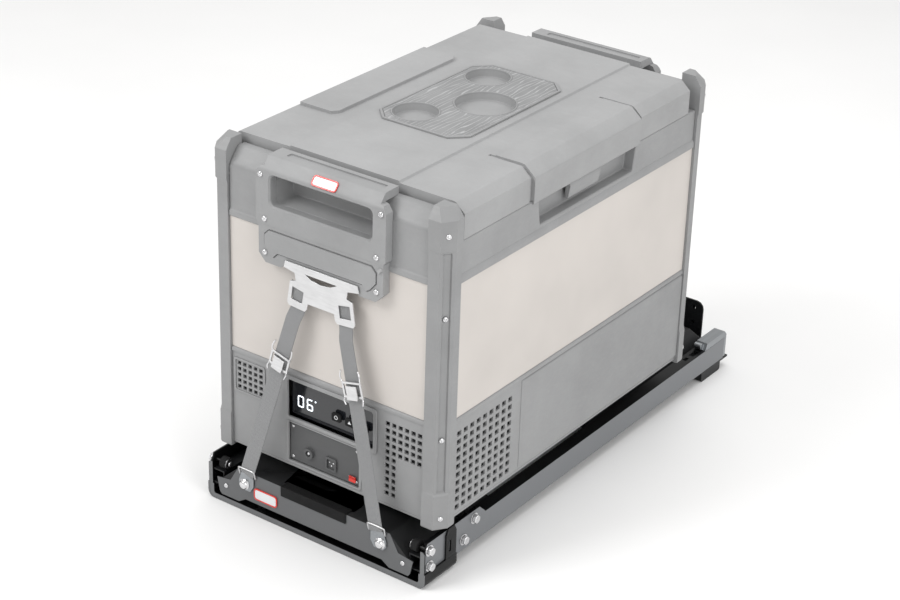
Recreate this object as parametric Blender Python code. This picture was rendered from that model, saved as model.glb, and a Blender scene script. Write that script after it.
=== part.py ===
"""Compressor cooler fridge strapped to a slide-out mounting frame.

Metres, +Z up, the fridge's handle end and the slide's travel face -Y.
"""

import bpy
import bmesh
import math
from mathutils import Matrix, Vector
from mathutils.geometry import tessellate_polygon

for old in list(bpy.data.objects):
    bpy.data.objects.remove(old, do_unlink=True)

MM = 0.001
GAP = 0.3

# Fridge case
HALF_W = 223.5
HALF_L = 361.7
RECESS = 6.0
POST = 36.0
POST_TOP = 615.0
CASE_BOTTOM = 91.0
WALL = 4.0
PANEL_X = HALF_W - RECESS
PANEL_Y = HALF_L - RECESS
INNER_X = HALF_W - POST - GAP
INNER_Y = HALF_L - POST - GAP
BEIGE_LOW = 269.5
BEIGE_HIGH = 492.0
RIM_TOP = 557.5
RIM_END_TOP = 600.0
LID_TOP = 616.0
LID_FRONT = -316.0
LID_REAR = 303.0

# Handle unit on each end
HANDLE_Y = 372.0
POCKET_X = 96.0
POCKET_LOW = 538.0
POCKET_HIGH = 589.0

# Slide
TRAY_TOP = 76.0
SHEET = 2.5
RAIL_OUT = 213.0
RAIL_IN = 190.0
RAIL_LOW = 20.0
RAIL_HIGH = 61.0
RAIL_REAR = 513.0
ROLLER_R = 9.7
ROLLER_Z = 64.0

# Lid hinge axis
HINGE_X = -220.6
HINGE_Z = 557.0

PAINTS = {}


def paint(name, colour, rough, metal=0.0):
    """A Principled material for one finish."""
    material = bpy.data.materials.new(name)
    material.use_nodes = True
    shader = material.node_tree.nodes["Principled BSDF"]
    shader.inputs["Base Color"].default_value = (*colour, 1.0)
    shader.inputs["Roughness"].default_value = rough
    shader.inputs["Metallic"].default_value = metal
    PAINTS[name] = material


paint("case_plastic", (0.26, 0.27, 0.28), 0.6)
paint("lid_plastic", (0.36, 0.37, 0.38), 0.6)
paint("panel_beige", (0.72, 0.68, 0.63), 0.45)
paint("slide_steel", (0.05, 0.05, 0.055), 0.4, 0.3)
paint("rail_steel", (0.32, 0.34, 0.36), 0.35, 0.8)
paint("bright_steel", (0.7, 0.7, 0.7), 0.25, 1.0)
paint("rubber", (0.02, 0.02, 0.02), 0.8)
paint("webbing", (0.12, 0.12, 0.13), 0.9)
paint("foam", (0.8, 0.74, 0.5), 0.9)
paint("liner", (0.75, 0.77, 0.78), 0.4)
paint("glass", (0.02, 0.02, 0.03), 0.1)
paint("signal_red", (0.6, 0.04, 0.03), 0.4)
paint("mat_grey", (0.3, 0.3, 0.31), 0.7)


def obj(name, slot, verts, faces, smooth=False):
    """A mesh object from points in millimetres."""
    mesh = bpy.data.meshes.new(name)
    mesh.from_pydata([tuple(c * MM for c in v) for v in verts], [], faces)
    work = bmesh.new()
    work.from_mesh(mesh)
    bmesh.ops.recalc_face_normals(work, faces=work.faces)
    if smooth:
        for face in work.faces:
            face.smooth = True
    work.to_mesh(mesh)
    work.free()
    item = bpy.data.objects.new(name, mesh)
    item.data.materials.append(PAINTS[slot])
    bpy.context.scene.collection.objects.link(item)
    return item


def cap(loop):
    """Triangles over one flat loop of points."""
    return tessellate_polygon([[Vector(p) for p in loop]])


def loft(loops):
    """Verts and faces of a solid through loops of equal length, closed at both ends."""
    count = len(loops[0])
    verts = [p for loop in loops for p in loop]
    faces = [tuple(t) for t in cap(loops[0])]
    last = count * (len(loops) - 1)
    faces += [tuple(last + i for i in t) for t in cap(loops[-1])]
    for k in range(len(loops) - 1):
        for i in range(count):
            j = (i + 1) % count
            a = k * count
            b = a + count
            faces.append((a + i, a + j, b + j, b + i))
    return verts, faces


def lift(point, axis, level):
    """A flat point placed at a level along an axis; the flat pair keeps X, Y, Z order."""
    u, v = point
    if axis == "X":
        return (level, u, v)
    if axis == "Y":
        return (u, level, v)
    return (u, v, level)


def plate(axis, low, high, outer, holes=()):
    """Verts and faces of a flat outline with holes, from low to high along an axis."""
    rings = [list(outer)] + [list(h) for h in holes]
    flat = [p for ring in rings for p in ring]
    tris = tessellate_polygon([[Vector((p[0], p[1], 0.0)) for p in ring] for ring in rings])
    count = len(flat)
    verts = [lift(p, axis, low) for p in flat] + [lift(p, axis, high) for p in flat]
    faces = [tuple(t) for t in tris] + [tuple(count + i for i in t) for t in tris]
    start = 0
    for ring in rings:
        for i in range(len(ring)):
            a = start + i
            b = start + (i + 1) % len(ring)
            faces.append((a, b, count + b, count + a))
        start += len(ring)
    return verts, faces


def block(x0, x1, y0, y1, z0, z1):
    """Verts and faces of a box."""
    return plate("Z", z0, z1, [(x0, y0), (x1, y0), (x1, y1), (x0, y1)])


def flipped(solid, axis):
    """A solid mirrored about one axis."""
    k = "XYZ".index(axis)
    verts = [tuple(-c if i == k else c for i, c in enumerate(v)) for v in solid[0]]
    return verts, solid[1]


def circle(cx, cy, radius, count, turn=0.0):
    """Points round a circle."""
    step = 2.0 * math.pi / count
    return [
        (cx + radius * math.cos(turn + i * step), cy + radius * math.sin(turn + i * step))
        for i in range(count)
    ]


def rect(x0, x1, y0, y1):
    """Four corners."""
    return [(x0, y0), (x1, y0), (x1, y1), (x0, y1)]


def rounded(x0, x1, y0, y1, radius, steps=3):
    """A rectangle with round corners."""
    points = []
    corners = [(x1, y1, 0), (x0, y1, 1), (x0, y0, 2), (x1, y0, 3)]
    for cx, cy, quarter in corners:
        ox = cx - radius if quarter in (0, 3) else cx + radius
        oy = cy - radius if quarter in (0, 1) else cy + radius
        for k in range(steps + 1):
            angle = math.pi / 2.0 * (quarter + k / steps)
            points.append((ox + radius * math.cos(angle), oy + radius * math.sin(angle)))
    return points


def level(points, z):
    """Flat points at a height."""
    return [(x, y, z) for x, y in points]


def grid(u0, u1, v0, v1, columns, rows, size_u, size_v):
    """Rectangular holes spread evenly over a field."""
    holes = []
    for i in range(columns):
        for j in range(rows):
            u = u0 + (u1 - u0 - size_u) * i / (columns - 1)
            v = v0 + (v1 - v0 - size_v) * j / (rows - 1)
            holes.append(rect(u, u + size_u, v, v + size_v))
    return holes


def join(base, *others):
    """Solids welded onto a base object."""
    for verts, faces in others:
        tool = obj(base.name + "_tool", "foam", verts, faces)
        apply_boolean(base, tool, "UNION")
    return base


def carve(base, *others):
    """Solids cut out of a base object."""
    for verts, faces in others:
        tool = obj(base.name + "_tool", "foam", verts, faces)
        apply_boolean(base, tool, "DIFFERENCE")
    return base


def apply_boolean(base, tool, operation):
    """An exact Boolean, applied, with its tool removed."""
    step = base.modifiers.new("step", "BOOLEAN")
    step.operation = operation
    step.solver = "EXACT"
    step.object = tool
    bpy.context.view_layer.objects.active = base
    base.select_set(True)
    bpy.ops.object.modifier_apply(modifier=step.name)
    bpy.data.objects.remove(tool, do_unlink=True)


def hinge_origin(item, x, y, z):
    """Puts a moving piece's origin on its joint axis."""
    shift = Vector((x, y, z)) * MM
    item.data.transform(Matrix.Translation(-shift))
    item.location = shift


def disc(axis, cu, cv, low, high, radius, count=16, hole=0.0):
    """A round plate, with or without a centre hole."""
    holes = [circle(cu, cv, hole, count)] if hole else []
    return plate(axis, low, high, circle(cu, cv, radius, count), holes)


# ---------------------------------------------------------------- slide, fixed frame

def u_band(half, low, top, radius, inner):
    """Half-open U outline: down one wall, along the floor and up the other."""
    points = [(-half, top)]
    for k in range(5):
        angle = math.pi + math.pi / 2.0 * k / 4
        points.append((-half + radius + radius * math.cos(angle), low + radius + radius * math.sin(angle)))
    for k in range(5):
        angle = 1.5 * math.pi + math.pi / 2.0 * k / 4
        points.append((half - radius + radius * math.cos(angle), low + radius + radius * math.sin(angle)))
    points.append((half, top))
    for point in reversed(inner):
        points.append(point)
    return points


def u_inner(half, low, top, radius):
    """The inner line of the U, left to right."""
    points = [(-half, top)]
    for k in range(5):
        angle = math.pi + math.pi / 2.0 * k / 4
        points.append((-half + radius + radius * math.cos(angle), low + radius + radius * math.sin(angle)))
    for k in range(5):
        angle = 1.5 * math.pi + math.pi / 2.0 * k / 4
        points.append((half - radius + radius * math.cos(angle), low + radius + radius * math.sin(angle)))
    points.append((half, top))
    return points


band = plate("Y", -387, -305, u_band(216.3, 0, 27, 12, u_inner(213.3, 3, 27, 9)))
crossmember = obj("front_crossmember", "slide_steel", *band)
flange = plate("Y", -386.5, -383.7, u_band(214.8, 1.5, 26.2, 10.5, u_inner(204.5, 9.2, 26.2, 4)))
arm_outline = [(-333, 10), (-307, 10), (-307, 70), (-312, 80), (-328, 80), (-333, 70)]
arm = plate("X", 213.8, 216.0, arm_outline, [rect(-325.5, -320.5, 38, 58)])
flange_arm = plate("Y", -386.4, -383.8, [(206.8, 22), (214.7, 22), (214.7, 63), (211.5, 66), (206.8, 66)])
join(crossmember, flange, flange_arm, flipped(flange_arm, "X"), arm, flipped(arm, "X"))

ear = [(-383.2, RAIL_LOW), (RAIL_REAR, RAIL_LOW), (RAIL_REAR, RAIL_HIGH), (-226, RAIL_HIGH)]
ear += [(-243, 77), (-377, 77), (-383.2, 62)]
web = plate("X", 210, RAIL_OUT, ear)
slots = [rect(197, 204, 392, 404), rect(197, 206, 414, 434)]
top_flange = plate("Z", RAIL_HIGH - 2.6, RAIL_HIGH - 0.1, rect(RAIL_IN, 211, -228, RAIL_REAR - 0.2), slots)
low_flange = plate("Z", 20.1, 22.7, rect(RAIL_IN, 211, -228, RAIL_REAR - 0.2))
studs = []
for y, z, inner, radius in (
    (-258, ROLLER_Z, 182.5, 3.2), (-373, ROLLER_Z, 182.5, 3.2), (-285, 39, 206.8, 6), (-372, 36, 206.8, 6),
):
    studs.append(disc("X", y, z, inner, 211, radius, 12))
    studs.append(disc("X", y, z, 212, 220, 6.5, 6))
for side, name in ((1, "outer_rail_right"), (-1, "outer_rail_left")):
    parts = [web, top_flange, low_flange] + studs
    if side < 0:
        parts = [flipped(p, "X") for p in parts]
    rail = obj(name, "rail_steel", *parts[0])
    join(rail, *parts[1:])

rear_bar = obj("rear_crossmember", "slide_steel", *block(-RAIL_OUT, RAIL_OUT, 438, 530, 16.5, 19.7))
foot = plate("X", 186, 212.5, [(440, 3), (443, 0), (502, 0), (505, 3), (505, 18), (440, 18)])
join(rear_bar, foot, flipped(foot, "X"))
upright_outline = rounded(-157, 157, 17.5, 106, 14)
upright_holes = [circle(s * 138, z, 4, 10) for s in (-1, 1) for z in (92, 62)]
join(rear_bar, plate("Y", 527.5, 530.5, upright_outline, upright_holes))

end_profile = [(445, 61.3), (513.3, 61.3), (513.3, 22), (520, 22), (520, 66), (513, 73.5), (452, 73.5)]
end_solid = plate("X", 191, 213, end_profile)
bumper = disc("X", 444.5, 67.8, 192, 206, 6, 14)
for side, word in ((1, "right"), (-1, "left")):
    pair = [end_solid, bumper]
    if side < 0:
        pair = [flipped(p, "X") for p in pair]
    join(obj("rail_end_block_" + word, "rail_steel", *pair[0]), pair[1])

for side, word in ((1, "right"), (-1, "left")):
    for y, row in ((-373, "front"), (-258, "mid")):
        ring = disc("X", y, ROLLER_Z, 184.5, 196.0, ROLLER_R, 20, 3.7)
        if side < 0:
            ring = flipped(ring, "X")
        roller = obj("roller_%s_%s" % (row, word), "rubber", *ring)
        hinge_origin(roller, side * 190.0, y, ROLLER_Z)

# ---------------------------------------------------------------- slide, moving tray


def hat(x_top, x_low, y0_top, y0_low, y1_top, y1_low, z_top, z_low, sheet):
    """A bent sheet: flat top with sloped sides, open below."""
    outer_top = level(rect(-x_top, x_top, y0_top, y1_top), z_top)
    outer_low = level(rect(-x_low, x_low, y0_low, y1_low), z_low)
    t = sheet
    inner_low = level(rect(-x_low + t, x_low - t, y0_low + t, y1_low - t), z_low)
    inner_top = level(rect(-x_top + t * 0.6, x_top - t * 0.6, y0_top + t, y1_top - t), z_top - t)
    return loft([outer_top, outer_low, inner_low, inner_top])


front_hat = hat(150, 183.5, -388, -388, -180, -172, TRAY_TOP, 46, SHEET)
tray_front = obj("tray_front_plate", "slide_steel", *front_hat)
face = [(-151, 75.8), (151, 75.8), (167, 48), (195, 44), (190, 20), (186, 15), (150, 15), (136, 24)]
face += [(-136, 24), (-150, 15), (-186, 15), (-190, 20), (-195, 44), (-167, 48)]
join(tray_front, plate("Y", -388.6, -385.9, face))
carve(tray_front, plate("Z", 60, 90, rounded(-67, 72, -376, -353, 3)))
carve(tray_front, disc("Z", 6, -203, 70, 80, 7, 16), disc("Z", -40, -330, 70, 80, 4, 10))
carve(tray_front, disc("Z", 62, -330, 70, 80, 4, 10))

rear_hat = hat(160, 183.5, 155, 104, 478, 500, TRAY_TOP, 46, SHEET)
tray_rear = obj("tray_rear_plate", "slide_steel", *rear_hat)

channel = [(184, 27), (206, 27), (206, 29.5), (186.5, 29.5), (186.5, 51.5), (206, 51.5), (206, 54), (184, 54)]
channel_right = plate("Y", -384, 498, channel)
obj("inner_rail_right", "slide_steel", *channel_right)
obj("inner_rail_left", "slide_steel", *flipped(channel_right, "X"))


def crescent(cx, cy, aim):
    """A raised arc that a foot sits inside, with a flat at each end."""
    points = []
    for k in range(9):
        angle = aim - math.radians(85) + math.radians(170) * k / 8
        points.append((cx + 33 * math.cos(angle), cy + 33 * math.sin(angle)))
    for k in range(9):
        angle = aim + math.radians(85) - math.radians(170) * k / 8
        points.append((cx + 23.5 * math.cos(angle), cy + 23.5 * math.sin(angle)))
    return points


FEET = [(-120, -236), (120, -236), (-120, 206), (120, 206)]
for x, y in FEET:
    aim = math.atan2(-1 if y < 0 else 1, -1 if x > 0 else 1)
    join(tray_front if y < 0 else tray_rear, plate("Z", TRAY_TOP - 1, 80, crescent(x, y, aim)))

sleeve = [(-390.8, 60), (-390.8, 78), (-373.4, 78), (-373.4, 71), (-375.6, 71), (-375.6, 76.4)]
sleeve += [(-389.0, 76.4), (-389.0, 60)]
obj("grip_sleeve", "rubber", *plate("X", -62, 67, sleeve))

bar = obj("release_bar", "bright_steel", *block(-150, 150, -351, -343, 56, 66))
hinge_origin(bar, 0, -347, 61)
pawl = [(150, -330), (168, -334), (181, -330), (182.8, -322), (181, -316), (166, -314), (152, -322)]
pawl_hole = [circle(167, -324, 3.2, 10)]
for side, word in ((1, "right"), (-1, "left")):
    solid = plate("Z", 39, 45.5, pawl, pawl_hole)
    if side < 0:
        solid = flipped(solid, "X")
    piece = obj("pawl_" + word, "bright_steel", *solid)
    hinge_origin(piece, side * 167, -324, 42)

# ---------------------------------------------------------------- fridge case


def plus_outline(x_far, y_far, x_near, y_near, y_front=None):
    """A rectangle with its four corners left out for the posts."""
    slope = 0.8
    front = -y_far if y_front is None else y_front
    return [
        (-x_near, front), (x_near, front), (x_near, -y_near), (x_far, -y_near + slope),
        (x_far, y_near - slope), (x_near, y_near), (x_near, y_far), (-x_near, y_far),
        (-x_near, y_near), (-x_far, y_near - slope), (-x_far, -y_near + slope), (-x_near, -y_near),
    ]


CORE_X = PANEL_X - WALL - GAP
CORE_Y = PANEL_Y - WALL - GAP
pan = plate("Z", 97, 101, plus_outline(PANEL_X, PANEL_Y, INNER_X, INNER_Y))
base_pan = obj("base_pan", "case_plastic", *pan)
join(base_pan, *[disc("Z", x, y, 76.3, 98, 20, 20) for x, y in FEET])

LOW = 101.0 + GAP
HIGH = BEIGE_LOW - GAP
front_holes = grid(-177, -126, 198, 246, 5, 5, 7, 6.5)
front_holes += grid(114, 182, 188, 244, 6, 5, 8, 7.5)
front_holes += grid(114, 134, 115.6, 183.5, 2, 6, 8, 7.5)
front_holes.append(rounded(-76, 93, 184, 251, 5))
front_holes.append(rounded(-74, 66, 106, 176, 4))
front_panel = plate("Y", -PANEL_Y, -PANEL_Y + WALL, rect(-INNER_X, INNER_X, LOW, HIGH), front_holes)
obj("front_lower_panel", "case_plastic", *front_panel)
rear_holes = grid(-60, 60, 150, 230, 7, 5, 9, 8)
rear_panel = plate("Y", PANEL_Y - WALL, PANEL_Y, rect(-INNER_X, INNER_X, LOW, HIGH), rear_holes)
obj("rear_lower_panel", "case_plastic", *rear_panel)
side_holes = grid(-316, -174, 108, 244, 9, 10, 10, 8.5)
side_low = plate("X", PANEL_X - WALL, PANEL_X, rect(-INNER_Y, INNER_Y, LOW, HIGH), side_holes)
obj("side_lower_panel_right", "case_plastic", *side_low)
left_holes = grid(-300, -200, 120, 230, 5, 5, 10, 8.5)
left_low = plate("X", PANEL_X - WALL, PANEL_X, rect(-INNER_Y, INNER_Y, LOW, HIGH), left_holes)
obj("side_lower_panel_left", "case_plastic", *flipped(left_low, "X"))

side_beige = block(PANEL_X - WALL, PANEL_X, -INNER_Y, INNER_Y, BEIGE_LOW, BEIGE_HIGH)
obj("side_panel_right", "panel_beige", *side_beige)
obj("side_panel_left", "panel_beige", *flipped(side_beige, "X"))
end_beige = block(-INNER_X, INNER_X, -PANEL_Y, -PANEL_Y + WALL, BEIGE_LOW, BEIGE_HIGH)
obj("end_panel_front", "panel_beige", *end_beige)
obj("end_panel_rear", "panel_beige", *flipped(end_beige, "Y"))


def post_loop(grow, depth, z, shrink=0.0):
    """The post's outline at a height: chamfered outer corner with a screw channel."""
    inner_x = HALF_W - POST
    inner_y = HALF_L - POST
    out_x = HALF_W - grow - shrink
    out_y = HALF_L - grow - shrink
    a = Vector((out_x, out_y - 20.0))
    b = Vector((out_x - 14.0, out_y))
    along = (b - a).normalized()
    inward = Vector((-along.y, along.x))
    if inward.x > 0:
        inward = -inward
    c = a + along * 5.5
    d = b - along * 5.5
    c_in = c + along * 1.5 + inward * depth
    d_in = d - along * 1.5 + inward * depth
    flat = [(inner_x, inner_y), (out_x, inner_y), tuple(a), tuple(c), tuple(c_in), tuple(d_in)]
    flat += [tuple(d), tuple(b), (inner_x, out_y)]
    return level(flat, z)


def corner_post():
    """One post, standing at the +X, +Y corner."""
    stations = [
        (0.0, 0.01, CASE_BOTTOM, 1.0), (0.0, 0.01, 94.0, 0.0), (0.0, 0.01, 150.0, 0.0),
        (1.6, 0.01, 153.0, 0.0),
        (1.6, 3.0, 156.0, 0.0), (1.6, 3.0, 545.0, 0.0), (1.6, 0.01, 548.0, 0.0), (0.0, 0.01, 551.0, 0.0),
        (0.0, 0.01, POST_TOP - 17, 0.0), (0.0, 0.01, POST_TOP, 12.0),
    ]
    return loft([post_loop(g, d, z, s) for g, d, z, s in stations])


post = corner_post()
obj("corner_post_rear_right", "case_plastic", *post)
obj("corner_post_rear_left", "case_plastic", *flipped(post, "X"))
obj("corner_post_front_right", "case_plastic", *flipped(post, "Y"))
obj("corner_post_front_left", "case_plastic", *flipped(flipped(post, "Y"), "X"))

# Rim round the top of the case
for sign, word, near in ((-1, "front", 320.3), (1, "rear", 307.3)):
    low = BEIGE_HIGH + GAP
    section = [(near, low), (PANEL_Y, low), (PANEL_Y, 574), (338, RIM_END_TOP), (near, RIM_END_TOP)]
    solid = plate("X", -INNER_X, INNER_X, section)
    pocket = plate("Y", near + 4, PANEL_Y + 5, rounded(-POCKET_X - 1, POCKET_X + 1, 537, 590, 9))
    if sign < 0:
        solid = flipped(solid, "Y")
        pocket = flipped(pocket, "Y")
    rim = obj("rim_end_" + word, "case_plastic", *solid)
    carve(rim, pocket)

rim_low = BEIGE_HIGH + GAP
side_rim = plate("X", HALF_W - POST, PANEL_X, rect(-INNER_Y, INNER_Y, rim_low, RIM_TOP))
obj("rim_side_left", "case_plastic", *flipped(side_rim, "X"))
rim_right = obj("rim_side_right", "case_plastic", *side_rim)
recess = plate("X", 199, 230, [(-121, 512), (137, 512), (146, 570), (-130, 570)])
carve(rim_right, recess)


def handle(sign):
    """One end's handle: a frame with its lower plate and a sloped top carried back over the rim."""
    outline = [(-121, 512), (-121, 588), (-112, 597), (112, 597), (121, 588), (121, 512), (117, 508)]
    outline += [(117, 458), (106, 444), (72, 444), (66, 451), (-66, 451), (-72, 444), (-106, 444)]
    outline += [(-117, 458), (-117, 508)]
    window = rounded(-POCKET_X, POCKET_X, POCKET_LOW, POCKET_HIGH, 8)
    over = RIM_END_TOP + GAP
    section = [(356.2, 592), (371.8, 592), (371.8, 594), (359, 612), (328, 613), (328, over), (356.2, over)]
    frame = plate("Y", PANEL_Y + GAP, HANDLE_Y, outline, [window])
    top = plate("X", -108, 108, section)
    groove = plate("Z", 610.5, 620, rect(-84, 96, 334, 346))
    solids = [frame, top, groove]
    if sign < 0:
        solids = [flipped(solid, "Y") for solid in solids]
    item = obj("handle_front" if sign < 0 else "handle_rear", "case_plastic", *solids[0])
    join(item, solids[1])
    carve(item, solids[2])


handle(-1)
handle(1)

# Inner tub and insulation
tub = [
    level(rect(-168, 168, -300, 300), 222.0),
    level(rect(-168, 168, -300, 300), 553.0),
    level(rect(-INNER_X, INNER_X, -320.0, 307.0), 553.0),
    level(rect(-INNER_X, INNER_X, -320.0, 307.0), 556.5),
    level(rect(-165, 165, -297, 297), 556.5),
    level(rect(-163, 163, -295, 295), 225.0),
]
obj("inner_liner", "liner", *loft(tub))
foam_ring = plate(
    "Z", 221.0, BEIGE_HIGH - GAP,
    plus_outline(CORE_X, CORE_Y, INNER_X, INNER_Y, -336.0),
    [rect(-168.4, 168.4, -300.4, 300.4)],
)
foam_floor = plate("Z", 206.0, 221.7, plus_outline(CORE_X - 1, CORE_Y - 1, INNER_X - 1, INNER_Y - 1, -335.0))
join(obj("foam_insulation", "foam", *foam_ring), foam_floor)

# Machinery bay below the tub
can = [level(circle(60, 40, r, 24), z) for r, z in ((56, 101.4), (62, 106), (62, 168), (52, 188), (26, 197))]
obj("compressor", "slide_steel", *loft(can), smooth=True)
coil = block(168, 198, -316, -176, 110, 196)
fins = [plate("Z", z, z + 1.5, rect(161, 205, -320, -172)) for z in (112, 128, 144, 160, 176, 192)]
condenser = obj("condenser", "rail_steel", *coil)
join(condenser, *fins)
blades = []
for k in range(5):
    base = 2 * math.pi * k / 5
    for angle, radius in ((-0.36, 12), (-0.2, 40), (0.2, 40), (0.3, 12)):
        blades.append((-246 + radius * math.cos(base + angle), 153 + radius * math.sin(base + angle)))
fan = obj("fan", "case_plastic", *plate("X", 145, 153, blades))
hinge_origin(fan, 149, -246, 153)

# Display, keys and power panel
module = plate("Y", -347.0, -338.0, rounded(-74, 91, 186, 249, 4))
obj("display_module", "glass", *module)
for x, word in ((18, "power"), (44, "up"), (70, "down")):
    key = obj("button_" + word, "rubber", *plate("Y", -353.6, -350.3, rounded(x - 9, x + 9, 206, 220, 3)))
    hinge_origin(key, x, -352, 213)

panel = plate("Y", -353.0, -346.0, rounded(-72, 64, 108, 174, 3))
inlet = disc("Y", -34, 131, -358, -352.5, 9, 16, 5)
outlet = plate("Y", -356, -352.4, rounded(-1, 20, 116, 139, 3), [rounded(2, 17, 119.4, 135.6, 2)])
brick = block(-52, 60, -347, -240, 104, 146)
join(obj("power_panel", "case_plastic", *panel), inlet, outlet, brick)
rocker = [(-357.2, 113.5), (-355.4, 118), (-357.2, 122.5), (-354.2, 122.5), (-354.2, 113.5)]
switch = obj("power_switch", "signal_red", *plate("X", 45.5, 58.5, rocker))
hinge_origin(switch, 52, -354.8, 118)

# ---------------------------------------------------------------- lid

shell = [
    level(rect(-200, 200, LID_FRONT + 6, LID_REAR - 6), LID_TOP - 3),
    level(rect(-217, 217, LID_FRONT, LID_REAR), 598),
    level(rect(-217, 217, LID_FRONT, LID_REAR), 558),
    level(rect(-213, 213, LID_FRONT + 4, LID_REAR - 4), 558),
    level(rect(-213, 213, LID_FRONT + 4, LID_REAR - 4), 595),
    level(rect(-197, 197, LID_FRONT + 10, LID_REAR - 10), 609),
]
lip_profile = [(217.9, 554), (221.3, 554), (221.3, 588), (216, 594), (216, 560), (217.9, 560)]
lip = plate("Y", -138, 146, lip_profile)
plateau = plate("Z", 611.5, LID_TOP, rect(-101, 101, LID_FRONT + 6.2, LID_REAR - 6.2))
ridge = [(-184, -178), (-136, -178), (-128, -168), (-128, 128), (-136, 140), (-184, 140)]
ridge = plate("Z", 611.5, 618.2, ridge)


def hinge_arc(start, end, steps):
    """Points round the hinge axis."""
    points = []
    for k in range(steps + 1):
        angle = math.radians(start + (end - start) * k / steps)
        points.append((HINGE_X + 2.7 * math.cos(angle), HINGE_Z + 2.7 * math.sin(angle)))
    return points


moving_knuckle = [(-216, 588), (-222.5, 588)] + hinge_arc(135, 360, 8) + [(-217.9, 560), (-216, 560)]
fixed_knuckle = [(-222.5, 532), (-217.8, 532)] + hinge_arc(0, 225, 8)
hinge_parts = []
fixed_parts = []
for y in (-205, 150):
    hole = [circle(HINGE_X, HINGE_Z, 1.7, 10)]
    hinge_parts.append(plate("Y", y + 16.3, y + 33.7, moving_knuckle, hole))
    fixed_parts.append(plate("Y", y, y + 16, fixed_knuckle))
    fixed_parts.append(plate("Y", y + 34, y + 50, fixed_knuckle))
    fixed_parts.append(disc("Y", HINGE_X, HINGE_Z, y + 2, y + 48, 1.35, 10))
lid_shell = obj("lid_shell", "lid_plastic", *loft(shell))
join(lid_shell, lip, plateau, ridge, *hinge_parts)
hinge_origin(lid_shell, HINGE_X, 0, HINGE_Z)
leaf = block(-222.3, -218.0, -204, 199, 533, 553.8)
join(obj("hinge_bar", "bright_steel", *leaf), *fixed_parts)

plug = [
    level(rect(-158, 158, -288, 275), 546),
    level(rect(-158, 158, -288, 275), 561),
    level(rect(-181, 181, -310, 297), 561),
    level(rect(-181, 181, -310, 297), 566),
]
obj("lid_liner", "liner", *loft(plug))
gasket = plate("Z", 556.8, 560.7, rect(-178, 178, -307, 294), [rect(-166, 166, -296, 283)])
obj("lid_gasket", "rubber", *gasket)
mat = [(-86, -122), (-61, -147), (61, -147), (86, -122), (86, 122), (61, 147), (-61, 147), (-86, 122)]
cups = [circle(-36, -96, 36, 20), circle(-36, 96, 36, 20), circle(27, 0, 48, 24)]
obj("cup_mat", "mat_grey", *plate("Z", 616.3, 619.3, mat, cups))
latch = plate("Y", -38, 46, [(205.5, 550), (213, 550), (214.6, 544), (211.4, 525), (207, 522), (205.5, 525)])
latch_piece = obj("lid_latch", "case_plastic", *latch)
hinge_origin(latch_piece, 209.5, 4, 549)

# ---------------------------------------------------------------- straps

SHIFT = 5.0
hook = [(-68, 461), (68, 461), (70, 448), (48, 445), (46, 434), (60, 430), (63, 392), (30, 388), (26, 402)]
hook += [(-26, 402), (-30, 388), (-63, 392), (-60, 430), (-46, 434), (-48, 445), (-70, 448)]
left_loop = [(-54, 424), (-30, 420), (-33, 397), (-57, 400)]
right_loop = [(54, 424), (30, 420), (33, 397), (57, 400)]
arch = [(-24, 449.5), (24, 449.5), (14, 443), (0, 440.5), (-14, 443)]


def moved(points):
    """Points shifted to the hook's centre line."""
    return [(x + SHIFT, z) for x, z in points]


hook_holes = [moved(left_loop), moved(right_loop), moved(arch)]
obj("hook_plate", "bright_steel", *plate("Y", -374.9, -372.4, moved(hook), hook_holes))
STRAPS = [(-38.5, 396, -129, 74), (48.5, 396, 128, 74)]
BUCKLE_Z = 293.0


def strap_centre(strap, z):
    """The strap's middle at a height: X and Y."""
    x0, z0, x1, z1 = strap
    part = (z0 - z) / (z0 - z1)
    return x0 + (x1 - x0) * part, -376.6 - 16.2 * part


def ribbon(strap, z_from, z_to, width, near, far):
    """A flat length along a strap, between two distances in front of its middle."""
    loops = []
    for z in (z_from, z_to):
        x, y = strap_centre(strap, z)
        loops.append(level(rect(x - width / 2, x + width / 2, y - far, y - near), z))
    return loft(loops)


def slanted(strap, z, points, near, far):
    """A flat shape across a strap, turned to the strap's slope, with its thickness along Y."""
    x, y = strap_centre(strap, z)
    x0, z0, x1, z1 = strap
    down = Vector((x1 - x0, z1 - z0)).normalized()
    across = Vector((-down.y, down.x))
    placed = []
    for u, v in points:
        p = Vector((x, z)) + across * u - down * v
        placed.append((p.x, p.y))
    return placed, y - far, y - near


for strap, word in zip(STRAPS, ("left", "right")):
    web_strip = ribbon(strap, strap[1], strap[3], 27, -0.8, 0.8)
    outline, low, high = slanted(strap, BUCKLE_Z, rect(-19, 19, -16, 16), 0.3, 3.4)
    window = slanted(strap, BUCKLE_Z, rect(-12, 12, -11, 11), 0.3, 3.4)[0]
    frame = plate("Y", low, high, outline, [window])
    tip = strap[2]
    hook_end = [(tip - 12, 81), (tip + 12, 81), (tip + 12, 48), (tip + 6, 42), (tip - 6, 42), (tip - 12, 48)]
    end_piece = plate("Y", -392.4, -388.9, hook_end)
    join(obj("strap_" + word, "webbing", *web_strip), frame, end_piece)
    outline, low, high = slanted(strap, BUCKLE_Z, rect(-10, 10, -14, 8), 3.8, 6.2)
    lever = obj("buckle_lever_" + word, "bright_steel", *plate("Y", low, high, outline))
    x, y = strap_centre(strap, BUCKLE_Z + 8)
    hinge_origin(lever, x, low + 1.2, BUCKLE_Z + 8)

# The frame's origin is under the middle of the whole assembly
CENTRE_Y = -68.45
for item in bpy.context.scene.collection.objects:
    item.location.y += CENTRE_Y * MM
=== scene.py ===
import bpy
import bmesh
import math
from mathutils import Matrix, Vector
from mathutils.geometry import tessellate_polygon


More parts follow.
